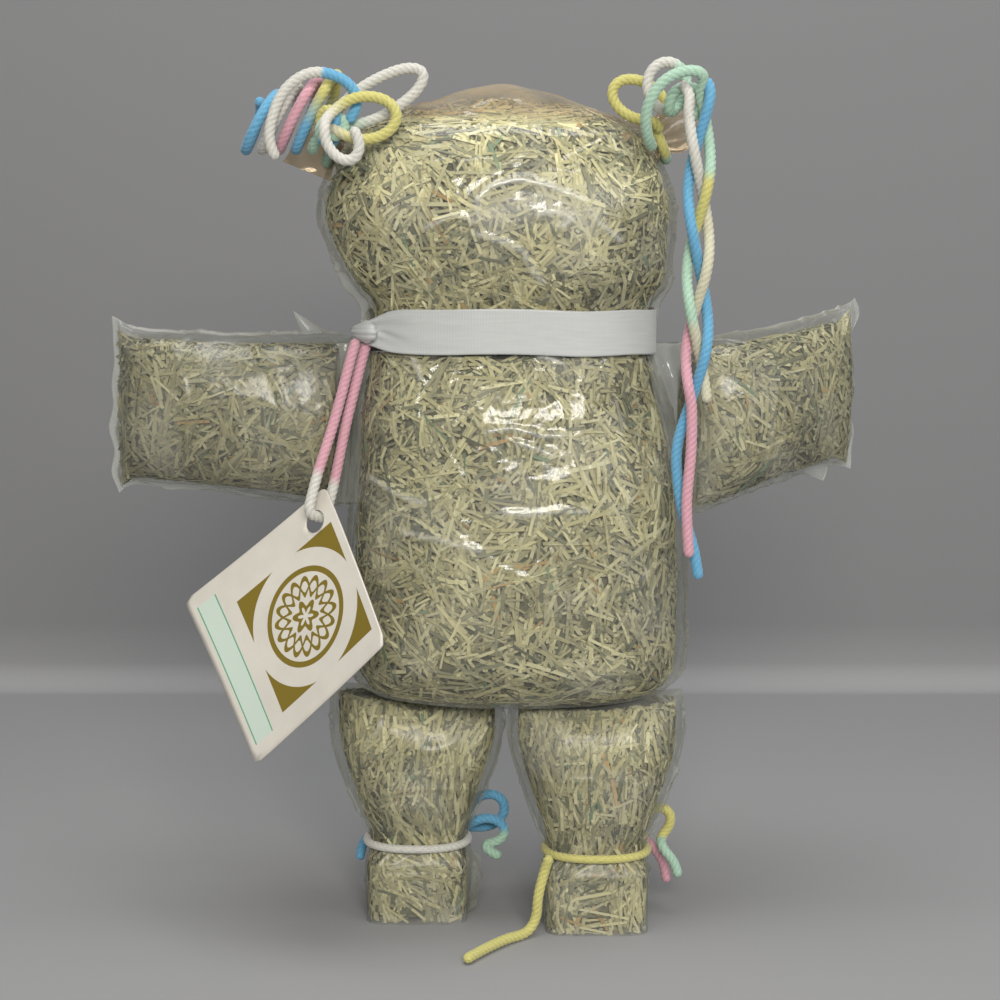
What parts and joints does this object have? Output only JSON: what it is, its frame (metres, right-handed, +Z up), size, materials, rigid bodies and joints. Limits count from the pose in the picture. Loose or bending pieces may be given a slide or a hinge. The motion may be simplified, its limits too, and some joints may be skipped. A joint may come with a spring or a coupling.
{
  "type": "shredded paper doll",
  "caption": "Standing doll of clear film pouches stuffed with shredded paper, tied with pastel yarn, with a satin neck ribbon and a card hang tag.",
  "frame": {"origin": "on the floor, under the middle of the box around the pouches and ties, loose ends not counted", "axes": "+Z up, the doll faces -Y, and its arms spread along X"},
  "size_m": [0.2072, 0.0758, 0.2403],
  "materials": {
    "clear_film": "clear soft vinyl film, glossy and crinkled",
    "paper_shreds": "shredded paper in cream, olive and grey-green",
    "satin_ribbon": "satin weave with a soft sheen",
    "variegated_yarn": "soft plied yarn dyed in pastel stretches",
    "pink_yarn": "soft plied yarn",
    "mint_yarn": "soft plied yarn",
    "blue_yarn": "soft plied yarn",
    "yellow_yarn": "soft plied yarn",
    "card": "white card with a matt face and a gold foil print"
  },
  "bodies": {
    "torso": {"torso_film": "clear_film", "torso_shreds": "paper_shreds", "neck_ribbon": "satin_ribbon", "ribbon_knot": "satin_ribbon"},
    "head": {"head_film": "clear_film", "head_shreds": "paper_shreds", "left_ear_tie": "pink_yarn", "right_ear_tie": "mint_yarn", "left_pigtail": "variegated_yarn", "right_pigtail": "variegated_yarn"},
    "braid": {"braid_strand_mint": "mint_yarn", "braid_strand_pink": "pink_yarn", "braid_strand_blue": "blue_yarn"},
    "left_arm": {"left_arm_film": "clear_film", "left_arm_shreds": "paper_shreds"},
    "right_arm": {"right_arm_film": "clear_film", "right_arm_shreds": "paper_shreds"},
    "left_leg": {"left_leg_film": "clear_film", "left_leg_shreds": "paper_shreds", "left_ankle_tie": "variegated_yarn", "left_ankle_bow": "blue_yarn"},
    "right_leg": {"right_leg_film": "clear_film", "right_leg_shreds": "paper_shreds", "right_ankle_tie": "yellow_yarn", "right_ankle_bow": "mint_yarn", "right_ankle_tail": "yellow_yarn"},
    "tag": {"tag_string": "pink_yarn", "tag_card": "card"}
  },
  "joints": [
    {"name": "neck_nod", "type": "hinge", "parent": "torso", "child": "head", "pos_m": [0.00573, 0.00186, 0.16315], "axis": [1, 0, 0], "range_deg": [-10, 5]},
    {"name": "braid_swing", "type": "hinge", "parent": "head", "child": "braid", "pos_m": [0.05403, -0.02564, 0.2295], "axis": [-1, 0, 0], "range_deg": [0, 60]},
    {"name": "left_shoulder", "type": "hinge", "parent": "torso", "child": "left_arm", "pos_m": [-0.05164, 0.00186, 0.144], "axis": [0, 0, 1], "range_deg": [-50, 45]},
    {"name": "right_shoulder", "type": "hinge", "parent": "torso", "child": "right_arm", "pos_m": [0.06571, 0.00186, 0.144], "axis": [0, 0, 1], "range_deg": [-60, 30]},
    {"name": "left_hip", "type": "hinge", "parent": "torso", "child": "left_leg", "pos_m": [-0.02097, 0.00886, 0.0507], "axis": [-1, 0, 0], "range_deg": [-30, 90]},
    {"name": "right_hip", "type": "hinge", "parent": "torso", "child": "right_leg", "pos_m": [0.03003, -0.00014, 0.0507], "axis": [-1, 0, 0], "range_deg": [-30, 90]},
    {"name": "tag_swing", "type": "hinge", "parent": "torso", "child": "tag", "pos_m": [-0.03539, -0.00697, 0.1631], "axis": [-1, 0, 0], "range_deg": [0, 40]}
  ]
}
